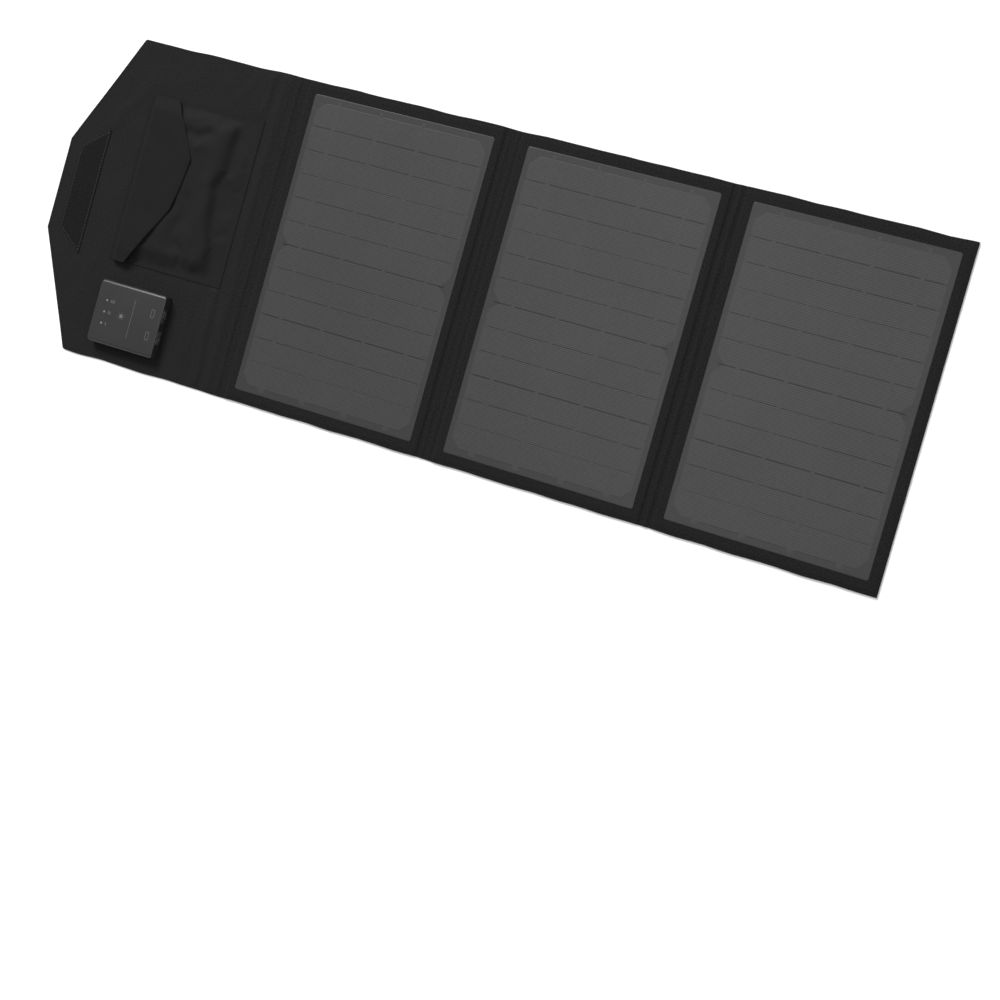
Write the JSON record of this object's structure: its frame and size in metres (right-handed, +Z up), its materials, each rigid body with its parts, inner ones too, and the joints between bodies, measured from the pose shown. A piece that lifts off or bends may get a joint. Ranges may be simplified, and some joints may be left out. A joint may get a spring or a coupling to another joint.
{
  "type": "folding solar panel",
  "caption": "Roll-up camping solar panel: stiff laminate panels in a black fabric cover, with a closing flap that carries a pocket and a USB regulator box.",
  "frame": {"origin": "on the ground, under the middle of the open panel", "axes": "+X along the row from the flap to the last panel, +Y across the row towards the pocket side, +Z up, cell side up"},
  "size_m": [0.7826, 0.284, 0.0123],
  "materials": {
    "cover_fabric": "matt",
    "lining_fabric": "matt",
    "pocket_fabric": "matt",
    "board": "matt",
    "backsheet": "satin",
    "solar_cell": "satin",
    "laminate_film": "satin",
    "hook_tape": "matt",
    "loop_tape": "matt",
    "tinned_ribbon": "satin",
    "copper_lead": "satin",
    "box_plastic": "satin",
    "circuit_board": "satin",
    "socket_steel": "satin",
    "socket_plastic": "matt",
    "component_body": "matt",
    "led_body": "gloss",
    "light_pipe": "gloss",
    "screw_steel": "satin"
  },
  "bodies": {
    "panel_1": {"back_cover_1": "cover_fabric", "stiffener_board_1": "board", "backsheet_1": "backsheet", "solar_cells_1": "solar_cell", "tab_ribbons_1": "tinned_ribbon", "bus_bars_1": "tinned_ribbon", "edge_seal_1": "laminate_film", "front_film_1": "laminate_film", "border_fabric_1": "lining_fabric", "panel_leads_1": "copper_lead"},
    "web_12": {"fold_web_12": "cover_fabric", "web_leads_12": "copper_lead"},
    "panel_2": {"back_cover_2": "cover_fabric", "stiffener_board_2": "board", "backsheet_2": "backsheet", "solar_cells_2": "solar_cell", "tab_ribbons_2": "tinned_ribbon", "bus_bars_2": "tinned_ribbon", "edge_seal_2": "laminate_film", "front_film_2": "laminate_film", "border_fabric_2": "lining_fabric", "panel_leads_2": "copper_lead", "loop_tape": "loop_tape"},
    "web_23": {"fold_web_23": "cover_fabric", "web_leads_23": "copper_lead"},
    "panel_3": {"back_cover_3": "cover_fabric", "stiffener_board_3": "board", "backsheet_3": "backsheet", "solar_cells_3": "solar_cell", "tab_ribbons_3": "tinned_ribbon", "bus_bars_3": "tinned_ribbon", "edge_seal_3": "laminate_film", "front_film_3": "laminate_film", "border_fabric_3": "lining_fabric", "panel_leads_3": "copper_lead"},
    "spine": {"flap_spine": "cover_fabric", "spine_leads": "copper_lead"},
    "flap_main": {"flap_main_outer": "cover_fabric", "flap_main_lining": "lining_fabric", "flap_leads": "copper_lead", "pocket_front": "pocket_fabric", "box_base": "box_plastic", "box_cover": "box_plastic", "circuit_board": "circuit_board", "usb_shells": "socket_steel", "usb_tongues": "socket_plastic", "inductor": "component_body", "capacitors": "socket_steel", "chips": "component_body", "indicator_leds": "led_body", "light_pipes": "light_pipe", "box_screws": "screw_steel", "lead_pins": "copper_lead"},
    "flap_slope": {"flap_slope_outer": "cover_fabric", "flap_slope_lining": "lining_fabric"},
    "flap_tip": {"flap_tip_outer": "cover_fabric", "flap_tip_lining": "lining_fabric", "hook_tape": "hook_tape"},
    "pocket_riser": {"pocket_flap_riser": "pocket_fabric"},
    "pocket_flap": {"pocket_flap": "pocket_fabric"}
  },
  "joints": [
    {"name": "panel_2_fold", "type": "hinge", "parent": "panel_1", "child": "web_12", "pos_m": [0.00365, 0, 0.0006], "axis": [0, -1, 0], "range_deg": [0, 89.35]},
    {"name": "panel_2_turn", "type": "hinge", "parent": "web_12", "child": "panel_2", "pos_m": [0.01275, 0, 0.0006], "axis": [0, -1, 0], "range_deg": [0, 89.35]},
    {"name": "panel_3_fold", "type": "hinge", "parent": "panel_2", "child": "web_23", "pos_m": [0.19975, 0, 0.0006], "axis": [0, -1, 0], "range_deg": [0, 90]},
    {"name": "panel_3_turn", "type": "hinge", "parent": "web_23", "child": "panel_3", "pos_m": [0.20505, 0, 0.0006], "axis": [0, -1, 0], "range_deg": [0, 90]},
    {"name": "flap_fold", "type": "hinge", "parent": "panel_1", "child": "spine", "pos_m": [-0.18505, 0, 0.0006], "axis": [0, 1, 0], "range_deg": [0, 90]},
    {"name": "flap_turn", "type": "hinge", "parent": "spine", "child": "flap_main", "pos_m": [-0.21105, 0, 0.0006], "axis": [0, 1, 0], "range_deg": [0, 91.3]},
    {"name": "flap_tip_bend", "type": "hinge", "parent": "flap_main", "child": "flap_slope", "pos_m": [-0.31985, 0, 0.0006], "axis": [0, 1, 0], "range_deg": [0, 18.8]},
    {"name": "flap_tip_level", "type": "hinge", "parent": "flap_slope", "child": "flap_tip", "pos_m": [-0.34985, 0, 0.0006], "axis": [0, 1, 0], "range_deg": [-18.8, 0]},
    {"name": "pocket_flap_open", "type": "hinge", "parent": "flap_main", "child": "pocket_riser", "pos_m": [-0.31735, 0, 0.002], "axis": [0, 1, 0], "range_deg": [-88, 0]},
    {"name": "pocket_flap_turn", "type": "hinge", "parent": "pocket_riser", "child": "pocket_flap", "pos_m": [-0.31735, 0, 0.0079], "axis": [0, 1, 0], "range_deg": [-88, 0]}
  ],
  "couplings": [
    {"joint": "panel_2_turn", "follows": "panel_2_fold", "ratio": 1},
    {"joint": "panel_3_turn", "follows": "panel_3_fold", "ratio": 1},
    {"joint": "flap_turn", "follows": "flap_fold", "ratio": 1.0144},
    {"joint": "flap_tip_level", "follows": "flap_tip_bend", "ratio": -1},
    {"joint": "pocket_flap_turn", "follows": "pocket_flap_open", "ratio": 1}
  ]
}
